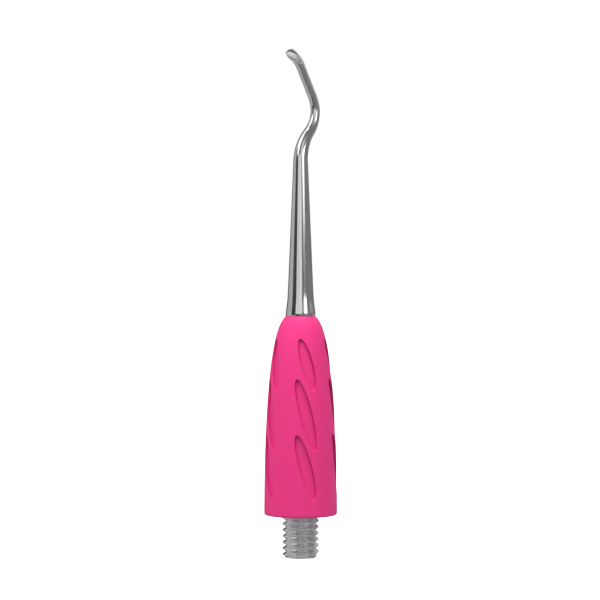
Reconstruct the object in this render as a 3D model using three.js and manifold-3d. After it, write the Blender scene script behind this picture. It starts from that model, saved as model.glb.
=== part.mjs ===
// A screw-in dental elevator tip: a bent steel shank that ends in a small gouge, held in a threaded
// steel core, with a soft silicone grip sleeve moulded over the core.
// Millimetres. +Z runs along the tool from the handle seat to the working end. The shank bows out
// to the back right, between +X and +Y, and its end leans across the axis to the front left. The
// hollow of the gouge faces -Y. The origin is on the axis, in the plane of the seat.
import * as THREE from 'three';
import { mergeVertices } from 'three/addons/utils/BufferGeometryUtils.js';
import Module from 'manifold-3d';

const wasm = await Module();
wasm.setup();

// ---- Driving dimensions ----

// Handle thread, M6 x 1, right-handed.
const THREAD_RADIUS = 3.0;
const THREAD_ROOT_RADIUS = 2.46;
const THREAD_PITCH = 1.0;
const THREAD_LENGTH = 7.0;
const THREAD_CREST_WIDTH = 0.22;
const THREAD_RIDGE_BASE = 0.96;
const THREAD_RIDGE_INSIDE = 2.3;
const THREAD_END_CHAMFER = 0.5;
const THREAD_END_RADIUS = 2.52;
const STEPS_PER_TURN = 20;

// Grip sleeve. Its outline is SLEEVE_RADIUS * (1 - (z / SLEEVE_NOSE_Z) ^ BULGE) ^ SQUARENESS.
const SLEEVE_RADIUS = 6.0;
const SLEEVE_TOP_Z = 32.5;
const SLEEVE_NOSE_Z = 33.06;
const SLEEVE_BULGE = 2.0;
const SLEEVE_SQUARENESS = 0.259;
const SLEEVE_EDGE_ROUND = 0.35;
const SLEEVE_THROAT_RADIUS = 2.44;

// Finger recesses: five around, in three rows. Each is a leaning ellipse of an even depth.
const RECESSES_AROUND = 5;
const RECESS_DEPTH = 0.45;
const RECESS_SIDES = 22;
const RECESS_ROWS = [
  { z: 24.65, turn: 12.3, halfHeight: 4.2, lean: 0.98, halfWidth: 0.97 },
  { z: 16.6, turn: 9.5, halfHeight: 5.8, lean: 1.41, halfWidth: 1.11 },
  { z: 8.1, turn: 8.0, halfHeight: 5.3, lean: 1.4, halfWidth: 1.11 },
];

// Threaded core, inside the sleeve.
const FLANGE_RADIUS = 4.6;
const FLANGE_THICKNESS = 1.2;
const CORE_RADIUS = 3.1;
const CORE_BODY_TOP_Z = 26;
const CORE_NECK_RADIUS = 2.45;
const CORE_TOP_Z = 29.6;
const CORE_FLAT_DISTANCE = 2.75;
const CORE_FLAT_TOP_Z = 21;
const CORE_GROOVES_Z = [5, 9.5, 14, 22.5];
const CORE_GROOVE_DEPTH = 0.4;
const CORE_GROOVE_WIDTH = 1.4;
const SOCKET_RADIUS = 1.6;
const SOCKET_BOTTOM_Z = 9;
const MOULDING_GAP = 0.1;

// Lock pin through the core and the tang.
const PIN_Z = 18.2;
const PIN_RADIUS = 0.6;
const PIN_LENGTH = 5.0;
const PIN_HOLE_RADIUS = 0.7;

// Seal ring between the shank's shoulder and the core's mouth.
const SEAL_RING_RADIUS = 2.03;
const SEAL_CORD_RADIUS = 0.38;
const SEAL_Z = 30.1;

// Steel shank. Stations run along its centreline, whose length is counted from the seat plane.
const TANG_RADIUS = 1.5;
const TANG_BOTTOM = 10.5;
const SHOULDER = 30.6;
const SHANK_ROOT_RADIUS = 2.4;
const SHANK_STATIONS = [
  { along: 32.9, radius: 2.455 },
  { along: 33.8, radius: 2.345 },
  { along: 35.0, radius: 2.2 },
  { along: 37.5, radius: 2.05 },
  { along: 58.0, radius: 1.2 },
  { along: 60.3, radius: 1.1 },
  { along: 63.1, radius: 0.92 },
  { along: 66.2, radius: 0.775 },
  { along: 73.85, radius: 0.74 },
  { along: 76.2, radius: 0.79 },
];
const BEND_PLANE_TURN = 34;
const BENDS = [
  { start: 58.05, length: 5.2, turn: 38.4 },
  { start: 63.25, length: 6.35, turn: -64.4 },
  { start: 74.95, length: 2.75, turn: -34.8 },
];
const RING_SPACING = 0.6;

// Gouge at the working end: a round nose, set back from the front, and a hollow that runs out through
// it. The hollow's direction is counted from the normal of the bend plane, and its floor from the
// centreline.
const NOSE_RADIUS = 0.84;
const NOSE_CENTRE = 77.25;
const NOSE_STEPS = 6;
const NOSE_SET_BACK = 0.55;
const GOUGE_THICKNESS_RATIO = 0.85;
const HOLLOW_TURN = 18;
const HOLLOW_FLATNESS = 0.2;
const HOLLOW_REACH = 4;
const HOLLOW_STATIONS = [
  { along: 75.3, radius: 0.04, floor: 0.74 },
  { along: 75.7, radius: 0.3, floor: 0.5 },
  { along: 76.3, radius: 0.46, floor: 0.12 },
  { along: 77.1, radius: 0.54, floor: -0.38 },
  { along: 77.9, radius: 0.56, floor: -0.84 },
  { along: 78.8, radius: 0.56, floor: -1.16 },
];

const STEEL_SEGMENTS = 28;
const SLEEVE_SEGMENTS = 50;
const CORE_SEGMENTS = 30;

// ---- Materials ----

const polishedSteel = new THREE.MeshStandardMaterial({ color: 0xb9bbbd, metalness: 1, roughness: 0.12 });
const satinSteel = new THREE.MeshStandardMaterial({ color: 0x9fa1a3, metalness: 1, roughness: 0.42 });
const pinkSilicone = new THREE.MeshStandardMaterial({ color: 0xeb3c87, metalness: 0, roughness: 0.55 });
const darkRubber = new THREE.MeshStandardMaterial({ color: 0x26262a, metalness: 0, roughness: 0.7 });

// ---- Solids ----

// A closed geometry as a manifold solid, with its shared vertices merged.
function solidFrom(geometry) {
  const bare = geometry.clone();
  bare.deleteAttribute('normal');
  bare.deleteAttribute('uv');
  const merged = mergeVertices(bare, 1e-4);
  const corners = merged.index.array;
  const kept = [];
  for (let i = 0; i < corners.length; i += 3) {
    const [a, b, c] = corners.slice(i, i + 3);
    if (a !== b && b !== c && c !== a) {
      kept.push(a, b, c);
    }
  }
  const mesh = new wasm.Mesh({
    numProp: 3,
    vertProperties: merged.attributes.position.array,
    triVerts: Uint32Array.from(kept),
  });
  return new wasm.Manifold(mesh);
}

function geometryFrom(solid) {
  const mesh = solid.getMesh();
  const geometry = new THREE.BufferGeometry();
  geometry.setAttribute('position', new THREE.BufferAttribute(mesh.vertProperties, 3));
  geometry.setIndex(new THREE.BufferAttribute(mesh.triVerts, 1));
  geometry.computeVertexNormals();
  return geometry;
}

// A profile of [radius, height] pairs turned about +Z.
function turned(profile, segments) {
  const points = profile.map(([radius, height]) => new THREE.Vector2(radius, height));
  return new THREE.LatheGeometry(points, segments).rotateX(Math.PI / 2);
}

function moveEachVertex(geometry, move) {
  const position = geometry.getAttribute('position');
  const point = new THREE.Vector3();
  for (let i = 0; i < position.count; i += 1) {
    point.fromBufferAttribute(position, i);
    move(point);
    position.setXYZ(i, point.x, point.y, point.z);
  }
  return geometry;
}

// A cylinder along X, centred on the Z axis at the given height.
function crossCylinder(radius, length, z) {
  return new THREE.CylinderGeometry(radius, radius, length, 16).rotateZ(Math.PI / 2).translate(0, 0, z);
}

function namedMesh(name, geometry, material) {
  const mesh = new THREE.Mesh(geometry, material);
  mesh.name = name;
  return mesh;
}

// ---- Threaded core ----

// One ridge wound round the stub, longer than the stub at both ends.
function threadRidge() {
  const ridge = new THREE.Shape([
    new THREE.Vector2(THREAD_RIDGE_INSIDE, -THREAD_RIDGE_BASE / 2),
    new THREE.Vector2(THREAD_RADIUS, -THREAD_CREST_WIDTH / 2),
    new THREE.Vector2(THREAD_RADIUS, THREAD_CREST_WIDTH / 2),
    new THREE.Vector2(THREAD_RIDGE_INSIDE, THREAD_RIDGE_BASE / 2),
  ]);
  const turns = THREAD_LENGTH / THREAD_PITCH + 2;
  const angle = turns * 2 * Math.PI;
  const straight = new THREE.ExtrudeGeometry(ridge, {
    depth: angle,
    steps: turns * STEPS_PER_TURN,
    bevelEnabled: false,
  });
  return moveEachVertex(straight, (point) => {
    const turn = angle - point.z;
    const radius = point.x;
    const climb = point.y + THREAD_PITCH * (turn / (2 * Math.PI) - turns + 1);
    point.set(radius * Math.cos(turn), radius * Math.sin(turn), climb);
  });
}

function threadedStub() {
  const root = [
    [0, -THREAD_LENGTH - 1],
    [THREAD_ROOT_RADIUS, -THREAD_LENGTH - 1],
    [THREAD_ROOT_RADIUS, FLANGE_THICKNESS / 2],
    [0, FLANGE_THICKNESS / 2],
  ];
  const envelope = [
    [0, -THREAD_LENGTH],
    [THREAD_END_RADIUS, -THREAD_LENGTH],
    [THREAD_RADIUS + 0.02, THREAD_END_CHAMFER - THREAD_LENGTH],
    [THREAD_RADIUS + 0.02, FLANGE_THICKNESS / 2],
    [0, FLANGE_THICKNESS / 2],
  ];
  const threaded = solidFrom(turned(root, STEPS_PER_TURN)).add(solidFrom(threadRidge()));
  return threaded.intersect(solidFrom(turned(envelope, CORE_SEGMENTS)));
}

// The core above the seat without its holes, grown by a gap: flange, grooved body with two flats, and neck.
function coreBody(gap) {
  const profile = [
    [0, -gap],
    [FLANGE_RADIUS + gap, -gap],
    [FLANGE_RADIUS + gap, FLANGE_THICKNESS + gap],
    [CORE_RADIUS + gap, FLANGE_THICKNESS + gap],
  ];
  const halfWidth = CORE_GROOVE_WIDTH / 2 - gap;
  for (const z of CORE_GROOVES_Z) {
    profile.push([CORE_RADIUS + gap, z - halfWidth]);
    profile.push([CORE_RADIUS + gap - CORE_GROOVE_DEPTH, z - halfWidth + CORE_GROOVE_DEPTH / 2]);
    profile.push([CORE_RADIUS + gap - CORE_GROOVE_DEPTH, z + halfWidth - CORE_GROOVE_DEPTH / 2]);
    profile.push([CORE_RADIUS + gap, z + halfWidth]);
  }
  profile.push([CORE_RADIUS + gap, CORE_BODY_TOP_Z + gap]);
  profile.push([CORE_NECK_RADIUS + gap, CORE_BODY_TOP_Z + gap + 0.6]);
  profile.push([CORE_NECK_RADIUS + gap, CORE_TOP_Z + gap]);
  profile.push([0, CORE_TOP_Z + gap]);
  let body = solidFrom(turned(profile, CORE_SEGMENTS));
  const flatHeight = CORE_FLAT_TOP_Z - FLANGE_THICKNESS - 2 * gap;
  for (const side of [-1, 1]) {
    const outside = new THREE.BoxGeometry(12, 4, flatHeight);
    const middle = side * (CORE_FLAT_DISTANCE + gap + 2);
    outside.translate(0, middle, FLANGE_THICKNESS + gap + flatHeight / 2);
    body = body.subtract(solidFrom(outside));
  }
  return body;
}

function threadedCore() {
  const socket = [
    [0, SOCKET_BOTTOM_Z],
    [SOCKET_RADIUS, SOCKET_BOTTOM_Z + SOCKET_RADIUS / 2],
    [SOCKET_RADIUS, CORE_TOP_Z + 1],
    [0, CORE_TOP_Z + 1],
  ];
  const core = coreBody(0)
    .add(threadedStub())
    .subtract(solidFrom(turned(socket, CORE_SEGMENTS)))
    .subtract(solidFrom(crossCylinder(PIN_HOLE_RADIUS, 4 * CORE_RADIUS, PIN_Z)));
  return namedMesh('threaded_core', geometryFrom(core), satinSteel);
}

// ---- Grip sleeve ----

function sleeveRadius(z) {
  return SLEEVE_RADIUS * (1 - (z / SLEEVE_NOSE_Z) ** SLEEVE_BULGE) ** SLEEVE_SQUARENESS;
}

// The sleeve's outline from the seat to its mouth, moved in by an inset.
function sleeveOutline(inset) {
  const outline = [];
  const edge = sleeveRadius(SLEEVE_EDGE_ROUND) - SLEEVE_EDGE_ROUND - inset;
  for (let step = 0; step <= 3; step += 1) {
    const angle = (step / 3) * (Math.PI / 2);
    outline.push([edge + SLEEVE_EDGE_ROUND * Math.sin(angle), SLEEVE_EDGE_ROUND * (1 - Math.cos(angle))]);
  }
  const rings = 14;
  for (let ring = 1; ring <= rings; ring += 1) {
    const share = Math.sin((ring / rings) * (Math.PI / 2));
    const z = SLEEVE_EDGE_ROUND + (SLEEVE_TOP_Z - SLEEVE_EDGE_ROUND) * share;
    outline.push([sleeveRadius(z) - inset, z]);
  }
  return outline;
}

// A prism with the recess's leaning outline, pointing out of the sleeve on the -Y side.
function recessPrism({ z, turn, halfHeight, lean, halfWidth }) {
  const outline = [];
  for (let side = 0; side < RECESS_SIDES; side += 1) {
    const angle = (side / RECESS_SIDES) * 2 * Math.PI;
    const across = halfWidth * Math.cos(angle) - lean * Math.sin(angle);
    outline.push(new THREE.Vector2(across, halfHeight * Math.sin(angle)));
  }
  const prism = new THREE.ExtrudeGeometry(new THREE.Shape(outline), { depth: 5, bevelEnabled: false });
  return prism
    .translate(0, 0, CORE_RADIUS)
    .rotateX(Math.PI / 2)
    .rotateZ(THREE.MathUtils.degToRad(turn))
    .translate(0, 0, z);
}

function recessCutters() {
  const outline = [[0, 0], ...sleeveOutline(RECESS_DEPTH), [0, SLEEVE_TOP_Z]];
  const floor = solidFrom(turned(outline, SLEEVE_SEGMENTS));
  const cutters = [];
  for (const row of RECESS_ROWS) {
    for (let index = 0; index < RECESSES_AROUND; index += 1) {
      const around = (index / RECESSES_AROUND) * 2 * Math.PI;
      cutters.push(solidFrom(recessPrism(row).rotateZ(around)).subtract(floor));
    }
  }
  return cutters;
}

function gripSleeve() {
  const outline = [[0, 0], ...sleeveOutline(0), [0, SLEEVE_TOP_Z]];
  const throat = [
    [0, CORE_TOP_Z],
    [SLEEVE_THROAT_RADIUS, CORE_TOP_Z],
    [SLEEVE_THROAT_RADIUS, SLEEVE_TOP_Z + 1],
    [0, SLEEVE_TOP_Z + 1],
  ];
  let sleeve = solidFrom(turned(outline, SLEEVE_SEGMENTS));
  for (const cutter of recessCutters()) {
    sleeve = sleeve.subtract(cutter);
  }
  sleeve = sleeve
    .subtract(coreBody(MOULDING_GAP))
    .subtract(solidFrom(turned(throat, CORE_SEGMENTS)));
  return namedMesh('grip_sleeve', geometryFrom(sleeve), pinkSilicone);
}

// ---- Working tip ----

// How far the centreline leans from +Z, in radians, at a length along the steel. The blank is bent
// towards +X, and then the bend plane is turned about the tool's axis.
function shankLean(along) {
  let degrees = 0;
  for (const { start, length, turn } of BENDS) {
    degrees += turn * THREE.MathUtils.clamp((along - start) / length, 0, 1);
  }
  return THREE.MathUtils.degToRad(degrees);
}

// Bends a straight blank: a point at height z moves to that length along the centreline.
function bendAlongShank(point) {
  const straight = BENDS[0].start;
  if (point.z <= straight) {
    return;
  }
  const across = point.x;
  const steps = 200;
  const stride = (point.z - straight) / steps;
  let x = 0;
  let z = straight;
  for (let step = 0; step < steps; step += 1) {
    const lean = shankLean(straight + (step + 0.5) * stride);
    x += stride * Math.sin(lean);
    z += stride * Math.cos(lean);
  }
  const lean = shankLean(point.z);
  point.set(x + across * Math.cos(lean), point.y, z - across * Math.sin(lean));
}

function shankProfile() {
  const profile = [
    [0, TANG_BOTTOM],
    [TANG_RADIUS - 0.4, TANG_BOTTOM],
    [TANG_RADIUS, TANG_BOTTOM + 0.6],
    [TANG_RADIUS, SHOULDER],
    [SHANK_ROOT_RADIUS, SHOULDER],
    [SHANK_ROOT_RADIUS, SLEEVE_TOP_Z + 0.1],
  ];
  SHANK_STATIONS.forEach(({ along, radius }, index) => {
    const [lastRadius, lastAlong] = profile.at(-1);
    const bent = along > BENDS[0].start;
    const rings = bent ? Math.max(1, Math.round((along - lastAlong) / RING_SPACING)) : 1;
    for (let ring = 1; ring <= rings; ring += 1) {
      const share = ring / rings;
      const ringRadius = THREE.MathUtils.lerp(lastRadius, radius, share);
      profile.push([ringRadius, THREE.MathUtils.lerp(lastAlong, along, share)]);
    }
  });
  for (let step = 0; step <= NOSE_STEPS; step += 1) {
    const angle = (step / NOSE_STEPS) * (Math.PI / 2);
    profile.push([NOSE_RADIUS * Math.cos(angle), NOSE_CENTRE + NOSE_RADIUS * Math.sin(angle)]);
  }
  return profile;
}

// Moves a point of the straight blank away from the hollow's side.
function setBack(point, distance) {
  const turn = THREE.MathUtils.degToRad(HOLLOW_TURN);
  point.x += distance * Math.sin(turn);
  point.y += distance * Math.cos(turn);
}

// Thins the end of the straight blank, squares its nose from front to back and sets it back.
function forgeGouge(point) {
  const { smoothstep, lerp } = THREE.MathUtils;
  const neck = SHANK_STATIONS.at(-2).along;
  point.y *= lerp(1, GOUGE_THICKNESS_RATIO, smoothstep(point.z, neck, NOSE_CENTRE));
  const noseRadius = Math.sqrt(Math.max(NOSE_RADIUS ** 2 - (point.z - NOSE_CENTRE) ** 2, 0));
  if (point.z > NOSE_CENTRE && noseRadius > 0.01) {
    point.y *= NOSE_RADIUS / noseRadius;
  }
  setBack(point, NOSE_SET_BACK * smoothstep(point.z, HOLLOW_STATIONS[0].along, NOSE_CENTRE + NOSE_RADIUS));
}

// The bar that cuts the hollow: flattened towards the steel, and tall enough towards the front to clear it.
function gougeHollow() {
  const profile = HOLLOW_STATIONS.map(({ along, radius }) => [radius, along]);
  profile.unshift([0, HOLLOW_STATIONS[0].along]);
  profile.push([0, HOLLOW_STATIONS.at(-1).along]);
  const bar = moveEachVertex(turned(profile, 20), (point) => {
    const station = HOLLOW_STATIONS.find(({ along }) => Math.abs(along - point.z) < 1e-3);
    point.y *= point.y > 0 ? HOLLOW_FLATNESS : HOLLOW_REACH;
    point.y -= station.floor + HOLLOW_FLATNESS * station.radius;
  });
  bar.rotateZ(-THREE.MathUtils.degToRad(HOLLOW_TURN));
  return moveEachVertex(bar, bendAlongShank);
}

function workingTip() {
  const blank = moveEachVertex(turned(shankProfile(), STEEL_SEGMENTS), (point) => {
    forgeGouge(point);
    bendAlongShank(point);
  });
  const planeTurn = THREE.MathUtils.degToRad(BEND_PLANE_TURN);
  const tip = solidFrom(blank.rotateZ(planeTurn))
    .subtract(solidFrom(gougeHollow().rotateZ(planeTurn)))
    .subtract(solidFrom(crossCylinder(PIN_HOLE_RADIUS, 4 * TANG_RADIUS, PIN_Z)));
  return namedMesh('working_tip', geometryFrom(tip), polishedSteel);
}

// ---- Small inner pieces ----

function lockPin() {
  return namedMesh('lock_pin', crossCylinder(PIN_RADIUS, PIN_LENGTH, PIN_Z), satinSteel);
}

function noseSealRing() {
  const section = [];
  const sides = 10;
  for (let side = 0; side <= sides; side += 1) {
    const angle = (side / sides) * 2 * Math.PI;
    const height = SEAL_Z + SEAL_CORD_RADIUS * Math.sin(angle);
    section.push([SEAL_RING_RADIUS + SEAL_CORD_RADIUS * Math.cos(angle), height]);
  }
  return namedMesh('nose_seal_ring', turned(section, 24), darkRubber);
}

const elevatorTip = new THREE.Group();
elevatorTip.add(workingTip(), threadedCore(), gripSleeve(), lockPin(), noseSealRing());

export default elevatorTip;
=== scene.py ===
"""Looks for the dental elevator tip: fine meshes for its steel and silicone, materials, light and camera.

Lengths named in millimetres are turned into metres by MM when a mesh is made. The frame is the CAD
model's: the origin on the tool axis in the seat plane, +Z towards the working end.
"""
import math

import bmesh
import bpy
from mathutils import Matrix, Vector
from mathutils.geometry import delaunay_2d_cdt


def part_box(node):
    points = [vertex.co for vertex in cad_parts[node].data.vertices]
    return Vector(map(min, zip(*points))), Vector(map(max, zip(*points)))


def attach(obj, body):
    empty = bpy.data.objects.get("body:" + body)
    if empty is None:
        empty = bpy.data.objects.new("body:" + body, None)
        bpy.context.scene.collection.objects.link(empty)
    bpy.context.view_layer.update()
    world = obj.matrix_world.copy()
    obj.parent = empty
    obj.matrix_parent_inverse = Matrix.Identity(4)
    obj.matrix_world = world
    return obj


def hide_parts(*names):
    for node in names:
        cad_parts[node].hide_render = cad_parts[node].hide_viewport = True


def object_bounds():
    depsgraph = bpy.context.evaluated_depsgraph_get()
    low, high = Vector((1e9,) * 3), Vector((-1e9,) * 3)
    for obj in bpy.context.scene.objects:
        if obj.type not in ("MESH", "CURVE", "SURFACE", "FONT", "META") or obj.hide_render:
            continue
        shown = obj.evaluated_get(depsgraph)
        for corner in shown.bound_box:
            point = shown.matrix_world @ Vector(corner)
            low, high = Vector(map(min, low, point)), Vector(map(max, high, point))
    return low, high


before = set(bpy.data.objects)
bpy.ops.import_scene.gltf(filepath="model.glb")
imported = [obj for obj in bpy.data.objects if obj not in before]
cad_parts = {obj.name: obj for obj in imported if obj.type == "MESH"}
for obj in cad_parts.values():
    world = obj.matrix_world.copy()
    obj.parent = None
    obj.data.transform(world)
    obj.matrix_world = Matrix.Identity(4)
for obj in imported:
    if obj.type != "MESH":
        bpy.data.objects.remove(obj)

MM = 0.001
TURN = 2 * math.pi
SHARP_ANGLE = math.radians(40)
CAD_LOW, CAD_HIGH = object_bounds()


def node_top(node):
    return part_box(node)[1].z / MM


def node_bottom(node):
    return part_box(node)[0].z / MM


# ---- Sizes, mm ----

STUB_END_Z = node_bottom("threaded_core")
CORE_TOP_Z = node_top("threaded_core")
SLEEVE_TOP_Z = node_top("grip_sleeve")
TANG_BOTTOM_Z = node_bottom("working_tip")
PIN_Z = (node_top("lock_pin") + node_bottom("lock_pin")) / 2

# Points round the steel and round the sleeve. A stretch, wherever one is named, is a length that rings
# of points divide: (from, to, greatest step between two rings).
STEEL_COLUMNS = 144
SLEEVE_COLUMNS = 240

# Tang, hidden in the core, up to its shoulder and the bead where the shank leaves the sleeve.
TANG_RADIUS = 1.5
TANG_CHAMFER_WIDTH = 0.4
TANG_CHAMFER_HEIGHT = 0.6
SHOULDER = 30.6
SHOULDER_CHAMFER = 0.1
SHANK_ROOT_RADIUS = 2.4
BEAD_BOTTOM_Z = SLEEVE_TOP_Z + 0.05
BEAD_STEPS = 6
TANG_STRETCH = (TANG_BOTTOM_Z + 0.9, SHOULDER - 0.3, 1.0)
ROOT_STRETCH = (SHOULDER + SHOULDER_CHAMFER, BEAD_BOTTOM_Z, 0.5)

# Shank: (length along the steel, radius), from the bead's top on, and its bends: (start, arc length, turn
# in degrees). They lie in a plane that holds the tool's axis and is turned from +X towards +Y.
SHANK_STATIONS = (
    (33.0, 2.448), (34.0, 2.32), (35.2, 2.18), (37.5, 2.05), (58.0, 1.20), (60.3, 1.10),
    (63.1, 0.92), (66.2, 0.775), (73.85, 0.74), (75.4, 0.77), (77.25, 0.84),
)
BENDS = ((58.05, 5.2, 38.4), (63.25, 6.35, -64.4), (74.95, 2.75, -34.8))
BEND_PLANE_TURN = math.radians(34)
# The step in which the bent centreline is worked out.
AXIS_STEP = 0.02

# Gouge: a round nose set back from the front, and a hollow on its -Y side that runs out through the end.
# From GOUGE_START to the nose the steel flattens to GOUGE_THICKNESS, a share of its width. The hollow is
# turned from the bend plane's normal, and cuts the steel no thinner than GOUGE_THINNEST.
# HOLLOW_FLATNESS is the height of the hollow's sides over its floor, as a share of a round hollow's.
# Hollow stations: (along, radius, height of its floor over the centreline).
GOUGE_START = SHANK_STATIONS[-3][0]
NOSE_RADIUS = 0.84
NOSE_CENTRE = 77.25
NOSE_END = NOSE_CENTRE + NOSE_RADIUS
NOSE_SET_BACK = 0.55
GOUGE_THICKNESS = 0.85
GOUGE_THINNEST = 0.03
HOLLOW_TURN = math.radians(18)
HOLLOW_FLATNESS = 0.2
HOLLOW_STATIONS = (
    (75.3, 0.10, 0.74), (75.7, 0.30, 0.50), (76.0, 0.39, 0.31), (76.3, 0.46, 0.12), (76.7, 0.51, -0.13),
    (77.1, 0.54, -0.38), (77.5, 0.555, -0.62), (77.9, 0.56, -0.84), (78.4, 0.56, -1.06),
)

# The steel between the bead and the nose: its straight root, its bends and the gouge.
SHANK_STRETCHES = ((33.2, 57.8, 0.4), (58.0, 74.6, 0.16), (74.64, NOSE_CENTRE, 0.04))
NOSE_STEPS = 28

# Thread, M6 x 1. The shares are half the widths of its crest and its root, over the pitch.
THREAD_RADIUS = 3.0
THREAD_ROOT_RADIUS = 2.5
THREAD_PITCH = 1.0
THREAD_CREST_SHARE = 0.10
THREAD_ROOT_SHARE = 0.05
THREAD_END_RADIUS = 2.45
THREAD_END_CHAMFER = 0.5
THREAD_STRETCH = (STUB_END_Z, 0.0, 0.025)
# Radii of the rings across the stub's end face and across the seat face.
STUB_END_RINGS = (0.8, 1.6, 2.2)
SEAT_RINGS = (3.2, 3.9)

# Core inside the sleeve, with two milled flats and a socket for the tang.
FLANGE_RADIUS = 4.6
FLANGE_THICKNESS = 1.2
FLANGE_CHAMFER = 0.1
CORE_RADIUS = 3.1
CORE_NECK_RADIUS = 2.45
CORE_BODY_TOP_Z = 26.0
CORE_TAPER_HEIGHT = 0.6
CORE_RING_SPACING = 1.0
CORE_FLAT_DISTANCE = 2.75
CORE_FLAT_TOP_Z = 21.0
CORE_GROOVES_Z = (5.0, 9.5, 14.0, 22.5)
CORE_GROOVE_DEPTH = 0.4
CORE_GROOVE_WIDTH = 1.4
SOCKET_RADIUS = 1.6
SOCKET_BOTTOM_Z = 9.0
SOCKET_CONE_HEIGHT = 0.8
SOCKET_STRETCH = (SOCKET_BOTTOM_Z + SOCKET_CONE_HEIGHT, CORE_TOP_Z - 0.5, 1.0)

# Hole for the lock pin through the core and the tang.
PIN_HOLE_RADIUS = 0.7
PIN_HOLE_SIDES = 48
DRILL_LENGTH = 12

# Grip sleeve. MOULDING_GAP is its clearance round the core. Its outline narrows as a power curve that
# would meet the axis at SLEEVE_NOSE_Z.
MOULDING_GAP = 0.1
SLEEVE_RADIUS = 6.0
SLEEVE_NOSE_Z = 33.06
SLEEVE_BULGE = 2.0
SLEEVE_SQUARENESS = 0.259
SLEEVE_EDGE_ROUND = 0.3
SLEEVE_EDGE_STEPS = 6
SLEEVE_THROAT_RADIUS = 2.44
SLEEVE_RIM_HEIGHT = 0.04
SLEEVE_LIP_HEIGHT = 0.02
SLEEVE_LIP_WIDTH = 0.01

# The sleeve's outside is made unrolled: cut at SEAM, an angle from -Y, and with angles turned into
# lengths by FLAT_RADIUS. WELD_DISTANCE joins it up again when it is rolled up.
SEAM = math.radians(-168)
FLAT_RADIUS = 5.5
OUTER_BOTTOM_Z = SLEEVE_EDGE_ROUND
OUTER_TOP_Z = SLEEVE_TOP_Z - SLEEVE_RIM_HEIGHT
SLEEVE_STRETCHES = ((OUTER_BOTTOM_Z, 28.0, 0.3), (28.2, 31.0, 0.2), (31.1, OUTER_TOP_Z, 0.09))
WELD_DISTANCE = 0.002
BORE_RING_SPACING = 1.2

# Recesses: (z, turn from -Y in degrees, half height, lean, half width) for each row. The lean is how far
# a recess's top lies to the left of its middle, seen from outside.
RECESSES_AROUND = 5
RECESS_RING_POINTS = 84
RECESS_ROWS = (
    (24.65, 13.4, 4.25, 1.0, 1.06),
    (16.6, 9.5, 5.8, 1.41, 1.11),
    (8.1, 8.0, 5.3, 1.40, 1.11),
)
# Inwards from a recess's rim: (inset, depth, how strongly painted shade darkens the colour there, standing
# in for the shadow in the recess).
RECESS_PROFILE = (
    (-0.05, 0.0, 0.0), (-0.02, 0.002, 0.0), (-0.004, 0.008, 0.1), (0.010, 0.04, 0.6), (0.025, 0.12, 1.0),
    (0.040, 0.22, 1.0), (0.055, 0.32, 1.0), (0.070, 0.39, 0.8), (0.09, 0.43, 0.4), (0.13, 0.45, 0.12),
    (0.34, 0.45, 0.05), (0.56, 0.45, 0.05), (0.80, 0.45, 0.05),
)
# Where round a recess the painted shade on its wall is strongest, in radians from its right side, and the
# least of that painted shade.
SHADE_TOWARDS = math.radians(62)
LEAST_SHADE = 0.28
# The same painted shade, darkening the colour of the sleeve's rounded bottom edge.
RIM_PAINTED_SHADE = 0.8
# How far outside a recess's outermost ring the sleeve's other points start.
RECESS_CLEARANCE = 0.05


# ---- Small helpers ----

def clamp(value, low=0.0, high=1.0):
    return max(low, min(high, value))


def smooth_step(value):
    t = clamp(value)
    return t * t * (3 - 2 * t)


def mix(a, b, share):
    return a + (b - a) * share


def smooth_through(stations, x, column=1):
    """A cubic curve through the stations' (x, value) pairs, held level outside them."""
    if x <= stations[0][0]:
        return stations[0][column]
    if x >= stations[-1][0]:
        return stations[-1][column]
    last = len(stations) - 1
    i = next(k for k in range(last) if x <= stations[k + 1][0])

    def slope(k):
        before, after = stations[max(k - 1, 0)], stations[min(k + 1, last)]
        return (after[column] - before[column]) / (after[0] - before[0])

    x0, y0 = stations[i][0], stations[i][column]
    x1, y1 = stations[i + 1][0], stations[i + 1][column]
    width = x1 - x0
    t = (x - x0) / width
    rise, fall = slope(i) * width, slope(i + 1) * width
    return (
        y0 * (2 * t ** 3 - 3 * t ** 2 + 1) + rise * (t ** 3 - 2 * t ** 2 + t)
        + y1 * (3 * t ** 2 - 2 * t ** 3) + fall * (t ** 3 - t ** 2)
    )


def evenly(low, high, spacing):
    """Values from low to high, both included, no further apart than spacing."""
    count = max(1, math.ceil((high - low) / spacing))
    return [mix(low, high, k / count) for k in range(count + 1)]


def smooth_piece(mesh):
    """An object of the mesh, named like it and shaded smooth, with its sharp edges kept."""
    mesh.shade_smooth()
    mesh.set_sharp_from_angle(angle=SHARP_ANGLE)
    piece = bpy.data.objects.new(mesh.name, mesh)
    bpy.context.scene.collection.objects.link(piece)
    return piece


def loft_piece(name, rings):
    """A closed body through rings of equal point counts, in mm. A ring of one point closes an end."""
    vertices = []
    starts = []
    for ring in rings:
        starts.append(len(vertices))
        vertices.extend(ring)
    count = max(len(ring) for ring in rings)
    faces = []
    for i in range(len(rings) - 1):
        a, b = starts[i], starts[i + 1]
        for k in range(count):
            after = (k + 1) % count
            if len(rings[i]) == 1:
                faces.append((a, b + after, b + k))
            elif len(rings[i + 1]) == 1:
                faces.append((a + k, a + after, b))
            else:
                faces.append((a + k, a + after, b + after, b + k))
    mesh = bpy.data.meshes.new(name)
    mesh.from_pydata([Vector(v) * MM for v in vertices], [], faces)
    mesh.validate()
    return smooth_piece(mesh)


def around(radius, z, count=STEEL_COLUMNS, start=0.0):
    """A level ring, counterclockwise seen from +Z. radius is a number or a function of the angle."""
    ring = []
    for k in range(count):
        angle = start + TURN * k / count
        r = radius(angle) if callable(radius) else radius
        ring.append((r * math.cos(angle), r * math.sin(angle), z))
    return ring


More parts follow.
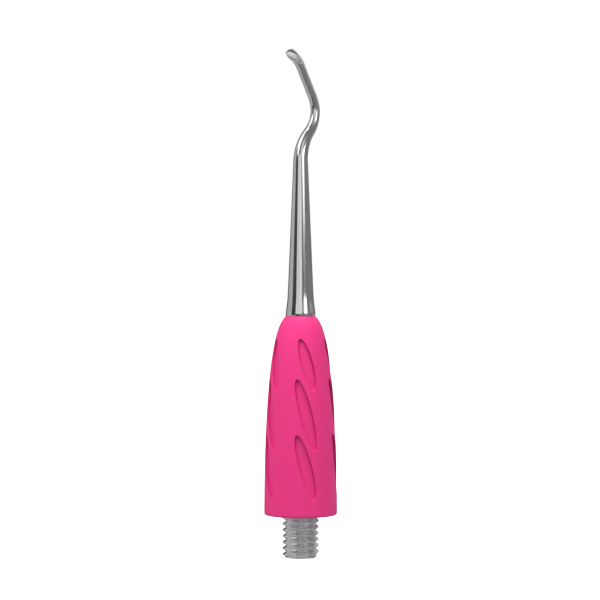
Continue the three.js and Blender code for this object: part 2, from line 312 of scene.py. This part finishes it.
def drilled(piece):
    """Cuts the lock pin's hole, along X, through a piece."""
    bm = bmesh.new()
    radius = PIN_HOLE_RADIUS * MM
    cutter = {"radius1": radius, "radius2": radius, "depth": DRILL_LENGTH * MM}
    bmesh.ops.create_cone(bm, cap_ends=True, segments=PIN_HOLE_SIDES, **cutter)
    bmesh.ops.rotate(bm, verts=bm.verts, cent=(0, 0, 0), matrix=Matrix.Rotation(math.pi / 2, 3, "Y"))
    bmesh.ops.translate(bm, verts=bm.verts, vec=(0, 0, PIN_Z * MM))
    drill_mesh = bpy.data.meshes.new("drill")
    bm.to_mesh(drill_mesh)
    bm.free()
    drill = bpy.data.objects.new("drill", drill_mesh)
    bpy.context.scene.collection.objects.link(drill)
    cut = piece.modifiers.new("drilled", "BOOLEAN")
    cut.object = drill
    cut.solver = "MANIFOLD"
    bpy.context.view_layer.update()
    evaluated = piece.evaluated_get(bpy.context.evaluated_depsgraph_get())
    holed = bpy.data.meshes.new_from_object(evaluated)
    holed.materials.clear()
    piece.modifiers.clear()
    piece.data = holed
    bpy.data.objects.remove(drill)
    return piece


# ---- Working tip ----

def shank_lean(along):
    """How far the centreline leans from +Z towards +X."""
    return math.radians(sum(turn * clamp((along - start) / length) for start, length, turn in BENDS))


def shank_axis():
    """Centreline points every AXIS_STEP from the first bend on."""
    points = [(0.0, BENDS[0][0])]
    along = BENDS[0][0]
    while along < NOSE_END + 1:
        lean = shank_lean(along + AXIS_STEP / 2)
        x, z = points[-1]
        points.append((x + AXIS_STEP * math.sin(lean), z + AXIS_STEP * math.cos(lean)))
        along += AXIS_STEP
    return points


AXIS = shank_axis()


def bent(across, y, along):
    """Where a point of the straight blank goes when it is bent along its centreline in the bend plane."""
    start = BENDS[0][0]
    x, z = across, along
    if along > start:
        place = (along - start) / AXIS_STEP
        i = min(int(place), len(AXIS) - 2)
        axis_x, axis_z = (mix(AXIS[i][k], AXIS[i + 1][k], place - i) for k in (0, 1))
        lean = shank_lean(along)
        x, z = axis_x + across * math.cos(lean), axis_z - across * math.sin(lean)
    cos_t, sin_t = math.cos(BEND_PLANE_TURN), math.sin(BEND_PLANE_TURN)
    return (x * cos_t - y * sin_t, x * sin_t + y * cos_t, z)


def gouge_section(along):
    """Half width, half thickness and the height of the middle of the steel at a length along it."""
    width = smooth_through(SHANK_STATIONS, along)
    flat = smooth_step((along - GOUGE_START) / (NOSE_CENTRE - GOUGE_START))
    thickness = width * mix(1, GOUGE_THICKNESS, flat)
    hollow_start = HOLLOW_STATIONS[0][0]
    middle = -NOSE_SET_BACK * smooth_step((along - hollow_start) / (NOSE_END - hollow_start))
    if along > NOSE_CENTRE:
        width = math.sqrt(max(0.0, NOSE_RADIUS ** 2 - (along - NOSE_CENTRE) ** 2))
    return width, thickness, middle


def hollowed(side, height, along):
    """The height of the steel's front at a sideways place, once the hollow is cut."""
    radius = smooth_through(HOLLOW_STATIONS, along)
    if along < HOLLOW_STATIONS[0][0] or abs(side) >= radius:
        return height
    floor = smooth_through(HOLLOW_STATIONS, along, 2)
    rise = radius - math.sqrt(radius * radius - side * side)
    return min(height, floor + HOLLOW_FLATNESS * rise)


def tip_ring(along):
    """A ring of the steel: an oval, turned within its plane from the hollow, which cuts its front."""
    width, thickness, middle = gouge_section(along)
    cos_t, sin_t = math.cos(HOLLOW_TURN), math.sin(HOLLOW_TURN)
    # The line halfway between the oval's front and back has this slope from its middle.
    narrow, thin = width ** -2, thickness ** -2
    slant = sin_t * cos_t * (narrow - thin) / (sin_t ** 2 * narrow + cos_t ** 2 * thin)
    ring = []
    for k in range(STEEL_COLUMNS):
        angle = TURN * k / STEEL_COLUMNS
        across, y = width * math.cos(angle), thickness * math.sin(angle)
        side = across * cos_t - y * sin_t
        height = middle - across * sin_t - y * cos_t
        halfway = middle + slant * side
        if height > halfway:
            thinnest = min(height, 2 * halfway - height + GOUGE_THINNEST)
            height = max(thinnest, hollowed(side, height, along))
        across = side * cos_t - height * sin_t
        y = -side * sin_t - height * cos_t
        ring.append(bent(across, y, along))
    return ring


def tang_profile():
    """(radius, z) pairs from the tang's end to the top of the bead."""
    profile = [(TANG_RADIUS - TANG_CHAMFER_WIDTH, TANG_BOTTOM_Z)]
    profile.append((TANG_RADIUS, TANG_BOTTOM_Z + TANG_CHAMFER_HEIGHT))
    profile += [(TANG_RADIUS, z) for z in evenly(*TANG_STRETCH)]
    profile += [(TANG_RADIUS, SHOULDER), (SHANK_ROOT_RADIUS - SHOULDER_CHAMFER, SHOULDER)]
    profile += [(SHANK_ROOT_RADIUS, z) for z in evenly(*ROOT_STRETCH)]
    bead_top_z, bead_radius = SHANK_STATIONS[0]
    for k in range(1, BEAD_STEPS + 1):
        angle = math.pi / 2 * k / BEAD_STEPS
        radius = mix(SHANK_ROOT_RADIUS, bead_radius, math.sin(angle))
        profile.append((radius, mix(bead_top_z, BEAD_BOTTOM_Z, math.cos(angle))))
    return profile


def working_tip():
    rings = [[(0, 0, TANG_BOTTOM_Z)]]
    rings += [around(radius, z, start=BEND_PLANE_TURN) for radius, z in tang_profile()]
    for stretch in SHANK_STRETCHES:
        rings += [tip_ring(along) for along in evenly(*stretch)]
    for k in range(1, NOSE_STEPS):
        rings.append(tip_ring(NOSE_CENTRE + NOSE_RADIUS * math.sin(math.pi / 2 * k / NOSE_STEPS)))
    middle = gouge_section(NOSE_END)[2]
    rings.append([bent(-middle * math.sin(HOLLOW_TURN), -middle * math.cos(HOLLOW_TURN), NOSE_END)])
    return drilled(loft_piece("working_tip_fine", rings))


# ---- Threaded core ----

def thread_radius(angle, z):
    """The stub's radius: a right-hand ridge with a rounded crest and root, cut by the end chamfer."""
    phase = (z / THREAD_PITCH - angle / TURN) % 1.0
    off_crest = min(phase, 1 - phase)
    down = clamp((off_crest - THREAD_CREST_SHARE) / (0.5 - THREAD_CREST_SHARE - THREAD_ROOT_SHARE))
    ridge = mix(THREAD_RADIUS, THREAD_ROOT_RADIUS, mix(down, smooth_step(down), 0.5))
    chamfer = (z - STUB_END_Z) / THREAD_END_CHAMFER
    return min(ridge, mix(THREAD_END_RADIUS, THREAD_RADIUS, chamfer))


def core_profile():
    """(radius, z) corners of the core above the seat, up its outside."""
    edge_radius = FLANGE_RADIUS - FLANGE_CHAMFER
    corners = [
        (edge_radius, 0.0), (FLANGE_RADIUS, FLANGE_CHAMFER),
        (FLANGE_RADIUS, FLANGE_THICKNESS - FLANGE_CHAMFER), (edge_radius, FLANGE_THICKNESS),
        (CORE_RADIUS, FLANGE_THICKNESS),
    ]
    half = CORE_GROOVE_WIDTH / 2
    for z in CORE_GROOVES_Z:
        corners += [
            (CORE_RADIUS, z - half), (CORE_RADIUS - CORE_GROOVE_DEPTH, z - half + CORE_GROOVE_DEPTH / 2),
            (CORE_RADIUS - CORE_GROOVE_DEPTH, z + half - CORE_GROOVE_DEPTH / 2), (CORE_RADIUS, z + half),
        ]
    return corners + [
        (CORE_RADIUS, CORE_BODY_TOP_Z), (CORE_NECK_RADIUS, CORE_BODY_TOP_Z + CORE_TAPER_HEIGHT),
        (CORE_NECK_RADIUS, CORE_TOP_Z),
    ]


def with_flats(radius, z, distance):
    """A ring radius that the two milled flats limit, between the flange and the flats' top."""
    if not FLANGE_THICKNESS < z < CORE_FLAT_TOP_Z:
        return lambda angle: radius
    return lambda angle: min(radius, distance / max(abs(math.sin(angle)), 1e-6))


def filled_in(profile, spacing):
    """A profile's (radius, z) corners with more points on its long stretches."""
    points = []
    for (r0, z0), (r1, z1) in zip(profile, profile[1:]):
        steps = max(1, math.ceil(math.hypot(r1 - r0, z1 - z0) / spacing))
        points += [(mix(r0, r1, k / steps), mix(z0, z1, k / steps)) for k in range(steps)]
    return points + [profile[-1]]


def threaded_core():
    rings = [[(0, 0, STUB_END_Z)]]
    rings += [around(r, STUB_END_Z) for r in STUB_END_RINGS]
    for z in evenly(*THREAD_STRETCH):
        rings.append(around(lambda angle, z=z: thread_radius(angle, z), z))
    rings += [around(r, 0.0) for r in SEAT_RINGS]
    for r, z in filled_in(core_profile(), CORE_RING_SPACING):
        rings.append(around(with_flats(r, z, CORE_FLAT_DISTANCE), z))
    rings.append(around(SOCKET_RADIUS, CORE_TOP_Z))
    rings += [around(SOCKET_RADIUS, z) for z in reversed(evenly(*SOCKET_STRETCH))]
    rings.append([(0, 0, SOCKET_BOTTOM_Z)])
    return drilled(loft_piece("threaded_core_fine", rings))


# ---- Grip sleeve ----

def sleeve_radius(z):
    return SLEEVE_RADIUS * (1 - (z / SLEEVE_NOSE_Z) ** SLEEVE_BULGE) ** SLEEVE_SQUARENESS


def recess_rings():
    """For each recess, rings of (points as (angle from -Y, z), depth, painted shade)."""
    for z, turn, half_height, lean, half_width in RECESS_ROWS:
        for index in range(RECESSES_AROUND):
            centre = math.radians(turn) + TURN * index / RECESSES_AROUND
            centre = (centre - SEAM) % TURN + SEAM
            rings = []
            for inset, depth, painted_shade in RECESS_PROFILE:
                # A ring's ends draw in twice as far as its sides.
                high = half_height - 2 * inset
                wide = half_width - inset
                slant = lean * high / half_height
                ring, painted_shades = [], []
                for k in range(RECESS_RING_POINTS):
                    t = TURN * k / RECESS_RING_POINTS
                    # Painted shade: strongest on the wall towards SHADE_TOWARDS, where the wall would lie
                    # in shadow.
                    painted_shades.append(painted_shade * mix(LEAST_SHADE, 1, 0.5 + 0.5 * math.cos(t - SHADE_TOWARDS)))
                    up = high * math.sin(t)
                    right = wide * math.cos(t) - slant * math.sin(t)
                    ring.append((centre + right / sleeve_radius(z + up), z + up))
                rings.append((ring, depth, painted_shades))
            yield (centre, z, half_height, lean, half_width), rings


def near_recess(angle, z, recess):
    """Is a surface point inside a recess's outermost ring, or right beside it?"""
    centre, middle, half_height, lean, half_width = recess
    up = z - middle
    right = (angle - centre) * sleeve_radius(z) + lean * up / half_height
    margin = -RECESS_PROFILE[0][0] + RECESS_CLEARANCE
    return (right / (half_width + margin)) ** 2 + (up / (half_height + 2 * margin)) ** 2 < 1


def outer_skin(bm):
    """The sleeve's outside with its recesses.

    Its points are placed and triangulated in the unrolled (angle, z) plane, and then rolled up.
    """
    points, levels, edges = [], [], []
    recesses = []
    for recess, rings in recess_rings():
        recesses.append(recess)
        for ring, depth, painted_shades in rings:
            first = len(points)
            points.extend(ring)
            levels.extend((depth, painted_shade) for painted_shade in painted_shades)
            edges.extend((first + k, first + (k + 1) % len(ring)) for k in range(len(ring)))
    rows = [z for stretch in SLEEVE_STRETCHES for z in evenly(*stretch)]
    for z in rows:
        for column in range(SLEEVE_COLUMNS + 1):
            angle = SEAM + TURN * column / SLEEVE_COLUMNS
            if not any(near_recess(angle, z, recess) for recess in recesses):
                points.append((angle, z))
                levels.append((0.0, 0.0))
    flat = [Vector((angle * FLAT_RADIUS, z)) for angle, z in points]
    made, _, faces, sources, _, _ = delaunay_2d_cdt(flat, edges, [], 0, 1e-6)
    # Each point carries the painted shade that darkens the silicone's colour in the recesses.
    painted_shade_layer = bm.verts.layers.float["painted_shade"]
    verts = []
    for place, source in zip(made, sources):
        depth, painted_shade = levels[source[0]] if source else (0.0, 0.0)
        angle, z = place.x / FLAT_RADIUS, place.y
        radius = sleeve_radius(z) - depth
        vert = bm.verts.new(Vector((radius * math.sin(angle), -radius * math.cos(angle), z)) * MM)
        vert[painted_shade_layer] = painted_shade
        verts.append(vert)
    for face in faces:
        bm.faces.new([verts[k] for k in face])


def inner_skin(bm):
    """The rest of the sleeve, turned: its rounded bottom edge, seat face, moulded bore, throat and lip."""
    gap = MOULDING_GAP
    edge = sleeve_radius(OUTER_BOTTOM_Z)
    profile = []
    for k in range(SLEEVE_EDGE_STEPS + 1):
        angle = math.pi / 2 * k / SLEEVE_EDGE_STEPS
        inwards = SLEEVE_EDGE_ROUND * (1 - math.cos(angle))
        profile.append((edge - inwards, OUTER_BOTTOM_Z * (1 - math.sin(angle))))
    profile += [(FLANGE_RADIUS + gap, 0.0), (FLANGE_RADIUS + gap, FLANGE_THICKNESS + gap)]
    profile += [(r + gap, z) for r, z in core_profile()[4:-1] if z > FLANGE_THICKNESS]
    profile += [
        (CORE_NECK_RADIUS + gap, CORE_TOP_Z), (SLEEVE_THROAT_RADIUS, CORE_TOP_Z + gap),
        (SLEEVE_THROAT_RADIUS, SLEEVE_TOP_Z - SLEEVE_LIP_HEIGHT),
        (SLEEVE_THROAT_RADIUS + SLEEVE_LIP_WIDTH, SLEEVE_TOP_Z),
        (sleeve_radius(SLEEVE_TOP_Z), SLEEVE_TOP_Z), (sleeve_radius(OUTER_TOP_Z), OUTER_TOP_Z),
    ]
    start = SEAM - math.pi / 2
    painted_shade_layer = bm.verts.layers.float["painted_shade"]
    last = None
    for r, z in filled_in(profile, BORE_RING_SPACING):
        in_bore = r <= CORE_RADIUS + gap
        radius = with_flats(r, z, CORE_FLAT_DISTANCE + gap) if in_bore else r
        ring = [bm.verts.new(Vector(p) * MM) for p in around(radius, z, SLEEVE_COLUMNS, start)]
        # Painted shade that darkens the rounded bottom edge.
        for vert in ring:
            vert[painted_shade_layer] = RIM_PAINTED_SHADE * smooth_step(1 - z / OUTER_BOTTOM_Z)
        if last:
            for k in range(SLEEVE_COLUMNS):
                after = (k + 1) % SLEEVE_COLUMNS
                bm.faces.new((last[k], ring[k], ring[after], last[after]))
        last = ring


def grip_sleeve():
    bm = bmesh.new()
    # The layer for the painted shade in the recesses and on the bottom edge.
    bm.verts.layers.float.new("painted_shade")
    outer_skin(bm)
    inner_skin(bm)
    bmesh.ops.remove_doubles(bm, verts=bm.verts, dist=WELD_DISTANCE * MM)
    bmesh.ops.recalc_face_normals(bm, faces=bm.faces)
    mesh = bpy.data.meshes.new("grip_sleeve_fine")
    bm.to_mesh(mesh)
    bm.free()
    return smooth_piece(mesh)


# ---- Materials ----

class Nodes:
    """A short way to write a node tree."""

    def __init__(self, tree):
        self.tree = tree
        tree.nodes.clear()

    def add(self, kind, inputs=None, **settings):
        node = self.tree.nodes.new(kind)
        for name, value in settings.items():
            setattr(node, name, value)
        for name, value in (inputs or {}).items():
            self.feed(node.inputs[name], value)
        return node

    def feed(self, socket, value):
        if isinstance(value, bpy.types.NodeSocket):
            self.tree.links.new(value, socket)
        else:
            socket.default_value = value

    def math(self, operation, *values):
        node = self.add("ShaderNodeMath", operation=operation)
        for socket, value in zip(node.inputs, values):
            self.feed(socket, value)
        return node.outputs[0]

    def blend(self, share, a, b):
        return self.add("ShaderNodeMix", {"Factor": share, "A": a, "B": b}).outputs["Result"]

    def ramp(self, factor, stops):
        node = self.add("ShaderNodeValToRGB", {"Fac": factor})
        elements = node.color_ramp.elements
        while len(elements) < len(stops):
            elements.new(0.5)
        for element, (place, value) in zip(elements, stops):
            element.position = place
            element.color = value if isinstance(value, tuple) else (value, value, value, 1)
        return node.outputs["Color"]


def new_material(name):
    material = bpy.data.materials.new(name)
    material.use_nodes = True
    nodes = Nodes(material.node_tree)
    output = nodes.add("ShaderNodeOutputMaterial")
    shader = nodes.add("ShaderNodeBsdfPrincipled")
    nodes.feed(output.inputs["Surface"], shader.outputs[0])
    return material, nodes, shader


def object_noise(nodes, scale, stretch=(1, 1, 1), detail=3.0):
    """Noise fixed to the object. scale is in features per metre."""
    place = nodes.add("ShaderNodeTexCoord").outputs["Object"]
    stretched = nodes.add("ShaderNodeMapping", {"Vector": place, "Scale": stretch}).outputs[0]
    noise = nodes.add("ShaderNodeTexNoise", {"Vector": stretched, "Scale": scale, "Detail": detail})
    return noise.outputs["Fac"]


def add_bump(nodes, shader, height, strength, distance):
    bump = nodes.add("ShaderNodeBump", {"Height": height, "Strength": strength, "Distance": distance})
    nodes.feed(shader.inputs["Normal"], bump.outputs[0])


def polished_steel():
    material, nodes, shader = new_material("polished_steel")
    haze = object_noise(nodes, 2600, (1, 1, 0.04))
    tint = nodes.ramp(haze, ((0.3, (0.62, 0.63, 0.64, 1)), (0.7, (0.79, 0.795, 0.80, 1))))
    nodes.feed(shader.inputs["Base Color"], tint)
    nodes.feed(shader.inputs["Roughness"], nodes.ramp(haze, ((0.3, 0.05), (0.7, 0.10))))
    shader.inputs["Metallic"].default_value = 1.0
    lines = object_noise(nodes, 6000, (1, 1, 0.03), 2.0)
    add_bump(nodes, shader, lines, 0.02, 0.00001)
    return material


def turning_marks(nodes, scale):
    """Noise that runs in rings about the tool's axis, as a lathe leaves it."""
    place = nodes.add("ShaderNodeTexCoord").outputs["Object"]
    x, y, z = nodes.add("ShaderNodeSeparateXYZ", {0: place}).outputs
    across = nodes.math("SQRT", nodes.math("MULTIPLY_ADD", x, x, nodes.math("MULTIPLY", y, y)))
    ring = nodes.add("ShaderNodeCombineXYZ", {"X": across, "Z": z})
    return nodes.add("ShaderNodeTexNoise", {"Vector": ring.outputs[0], "Scale": scale}).outputs["Fac"]


def satin_steel():
    material, nodes, shader = new_material("satin_steel")
    marks = turning_marks(nodes, 9000)
    tint = nodes.ramp(marks, ((0.3, (0.78, 0.78, 0.80, 1)), (0.7, (0.92, 0.92, 0.94, 1))))
    nodes.feed(shader.inputs["Base Color"], tint)
    nodes.feed(shader.inputs["Roughness"], nodes.ramp(marks, ((0.3, 0.22), (0.7, 0.32))))
    shader.inputs["Metallic"].default_value = 1.0
    add_bump(nodes, shader, marks, 0.2, 0.00002)
    return material


def pink_silicone():
    material, nodes, shader = new_material("pink_silicone")
    cloud = object_noise(nodes, 160, detail=2.0)
    tint = nodes.ramp(cloud, ((0.3, (0.76, 0.031, 0.205, 1)), (0.7, (0.79, 0.034, 0.215, 1))))
    # Painted shade: the attribute darkens the colour in the recesses and on the bottom edge, standing in
    # for shadow.
    painted_shade = nodes.add("ShaderNodeAttribute", attribute_name="painted_shade").outputs["Fac"]
    shade = nodes.ramp(painted_shade, ((0.0, (1, 1, 1, 1)), (1.0, (0.50, 0.20, 0.46, 1))))
    shaded = nodes.add("ShaderNodeVectorMath", {0: tint, 1: shade}, operation="MULTIPLY").outputs[0]
    nodes.feed(shader.inputs["Base Color"], shaded)
    grain = object_noise(nodes, 7000)
    nodes.feed(shader.inputs["Roughness"], nodes.ramp(grain, ((0.3, 0.46), (0.7, 0.56))))
    shader.inputs["IOR"].default_value = 1.41
    add_bump(nodes, shader, grain, 0.12, 0.00002)
    return material


def seal_rubber():
    material, nodes, shader = new_material("seal_rubber")
    grain = object_noise(nodes, 8000)
    nodes.feed(shader.inputs["Base Color"], nodes.ramp(grain, ((0.3, 0.010), (0.7, 0.022))))
    nodes.feed(shader.inputs["Roughness"], nodes.ramp(grain, ((0.3, 0.62), (0.7, 0.78))))
    add_bump(nodes, shader, grain, 0.2, 0.00002)
    return material


# ---- Light, floor and camera ----

# The studio that the steel mirrors, painted in this order: (name, azimuths from and to, elevations from
# and to, elevation gained per degree of azimuth, brightness, softness of the edges). Angles are in
# degrees, and azimuths are counted from -Y towards +X.
STUDIO_BASE = 0.225
STUDIO_PANELS = (
    ("floor", -181, 181, -95, -42, 0.0, 0.50, 6.0),
    ("back_left", -181, -140, -40, 66, 0.0, 0.10, 4.0),
    ("back_right", 146, 181, -40, 66, 0.0, 0.10, 4.0),
    ("left_wall", -132, -76, -60, 70, 0.0, 0.52, 3.0),
    ("left_floor", -130, -38, -60, -10, 0.0, 0.50, 4.0),
    ("low_left", -60, -43, -16, 3, 0.0, 0.42, 3.0),
    ("right_wall", 84, 138, 9, 60, 0.0, 0.55, 4.0),
    ("right_wall_back", 138, 166, 11, 60, 0.0, 0.60, 3.0),
    ("right_floor", 122, 141, -40, -2, 0.0, 0.58, 4.0),
    ("low_right", 38, 60, -17, -5, 0.0, 0.36, 2.0),
    ("front_high", -6, 26, 15, 38, 0.0, 0.74, 3.0),
    ("front_fill", -44, -6, 3, 17, 0.0, 0.78, 2.0),
    ("front_fill_bright", -8, 12, 3, 17, 0.0, 0.93, 2.0),
    ("key", -92, -38, 22, 65, -0.42, 1.7, 5.0),
    ("strip", 29, 54, 7.7, 17.5, 0.0, 3.0, 2.2),
    ("left_flag", -75, -39, -8, 17, 0.0, 0.065, 2.5),
    ("high_flag", -90, -66, 17, 27, -0.35, 0.18, 4.0),
    ("low_flag", -41, -12, -30, -3, 0.0, 0.085, 3.0),
    ("ceiling", -181, 181, 66, 95, 0.0, 3.4, 5.0),
)
# The even light that matt surfaces get from all round.
AMBIENT = 0.57
# Lamps: (name, place and diameter in metres, watts), and the place that they are aimed at.
LAMPS = (
    ("overhead", (0.0, -0.10, 0.55), 0.40, 1.30),
    ("key_left", (-0.27, -0.25, 0.45), 0.30, 1.75),
    ("key_right", (0.27, -0.25, 0.45), 0.30, 1.05),
)
LIGHT_TARGET = Vector((0, 0, 0.03))

# The floor's half width and its gap under the stub, and the camera, which looks level along +Y. Metres,
# with the lens in millimetres.
FLOOR_REACH = 4
FLOOR_GAP = 0.0001
CAMERA_PLACE = (-0.0001, -0.3101, 0.03522)
CAMERA_NEAREST = 0.01
CAMERA_LENS = 113.3
CAMERA_SENSOR = 36


def studio_window(nodes, value, low, high, soft):
    """1 between low and high, falling smoothly to 0 across each end."""
    rise = {"Value": value, "From Min": low - soft, "From Max": low + soft}
    fall = {"Value": value, "From Min": high + soft, "From Max": high - soft}
    ends = [nodes.add("ShaderNodeMapRange", ramp, interpolation_type="SMOOTHSTEP") for ramp in (rise, fall)]
    return nodes.math("MULTIPLY", ends[0].outputs[0], ends[1].outputs[0])


def painted_studio(nodes, azimuth, elevation):
    """The panels' brightness in a direction, each painted over the ones before it."""
    bright = STUDIO_BASE
    for _, az_from, az_to, el_from, el_to, slant, level, soft in STUDIO_PANELS:
        across = studio_window(nodes, azimuth, az_from, az_to, soft)
        middle = (az_from + az_to) / 2
        straightened = nodes.math("MULTIPLY_ADD", azimuth, -slant, slant * middle)
        straightened = nodes.math("ADD", straightened, elevation)
        share = nodes.math("MULTIPLY", across, studio_window(nodes, straightened, el_from, el_to, soft))
        bright = nodes.blend(share, bright, level)
    return bright


def studio_world():
    """Mirrors see the panels, matt surfaces see the ambient light and the camera sees plain white."""
    world = bpy.data.worlds.new("studio")
    bpy.context.scene.world = world
    world.use_nodes = True
    world.cycles.sampling_method = "NONE"
    nodes = Nodes(world.node_tree)
    direction = nodes.add("ShaderNodeTexCoord").outputs["Generated"]
    x, y, z = nodes.add("ShaderNodeSeparateXYZ", {0: direction}).outputs
    azimuth = nodes.math("ARCTAN2", x, nodes.math("MULTIPLY", y, -1.0))
    azimuth = nodes.math("MULTIPLY", azimuth, math.degrees(1))
    elevation = nodes.math("MULTIPLY", nodes.math("ARCSINE", z), math.degrees(1))
    mirrored = painted_studio(nodes, azimuth, elevation)
    ray = nodes.add("ShaderNodeLightPath").outputs
    bright = nodes.blend(ray["Is Diffuse Ray"], mirrored, AMBIENT)
    bright = nodes.blend(ray["Is Camera Ray"], bright, 1.0)
    background = nodes.add("ShaderNodeBackground", {"Color": bright, "Strength": 1.0})
    nodes.add("ShaderNodeOutputWorld", {"Surface": background.outputs[0]})


def soft_light(name, place, size, watts):
    """A round lamp aimed at the grip sleeve. Mirrors don't show it."""
    light = bpy.data.lights.new(name, "AREA")
    light.shape = "DISK"
    light.size = size
    light.energy = watts
    lamp = bpy.data.objects.new(name, light)
    lamp.location = place
    lamp.rotation_euler = (LIGHT_TARGET - Vector(place)).to_track_quat("-Z", "Y").to_euler()
    lamp.visible_glossy = False
    bpy.context.scene.collection.objects.link(lamp)


def pale_floor():
    mesh = bpy.data.meshes.new("floor")
    bm = bmesh.new()
    bmesh.ops.create_grid(bm, x_segments=2, y_segments=2, size=FLOOR_REACH)
    bm.to_mesh(mesh)
    bm.free()
    floor = bpy.data.objects.new("floor", mesh)
    floor.location.z = CAD_LOW.z - FLOOR_GAP
    floor.visible_glossy = False
    floor.visible_diffuse = False
    bpy.context.scene.collection.objects.link(floor)
    material, _, shader = new_material("floor_paper")
    shader.inputs["Base Color"].default_value = (0.9, 0.9, 0.9, 1)
    shader.inputs["Roughness"].default_value = 0.9
    shader.inputs["Emission Color"].default_value = (1, 1, 1, 1)
    shader.inputs["Emission Strength"].default_value = 1.0
    mesh.materials.append(material)


def studio_camera():
    camera = bpy.data.objects.new("camera", bpy.data.cameras.new("camera"))
    camera.data.lens = CAMERA_LENS
    camera.data.sensor_width = CAMERA_SENSOR
    camera.data.clip_start = CAMERA_NEAREST
    camera.location = CAMERA_PLACE
    camera.rotation_euler = (math.pi / 2, 0, 0)
    bpy.context.scene.collection.objects.link(camera)
    bpy.context.scene.camera = camera


# ---- The scene ----

def finish_piece(piece, material, node):
    piece.data.materials.append(material)
    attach(piece, "root")
    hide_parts(node)


def main():
    steel, satin, silicone, rubber = polished_steel(), satin_steel(), pink_silicone(), seal_rubber()
    finish_piece(working_tip(), steel, "working_tip")
    finish_piece(threaded_core(), satin, "threaded_core")
    finish_piece(grip_sleeve(), silicone, "grip_sleeve")
    for node, material in (("lock_pin", satin), ("nose_seal_ring", rubber)):
        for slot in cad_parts[node].material_slots:
            slot.material = material
    studio_world()
    for lamp in LAMPS:
        soft_light(*lamp)
    pale_floor()
    studio_camera()
    bpy.context.scene.view_settings.view_transform = "Standard"


main()
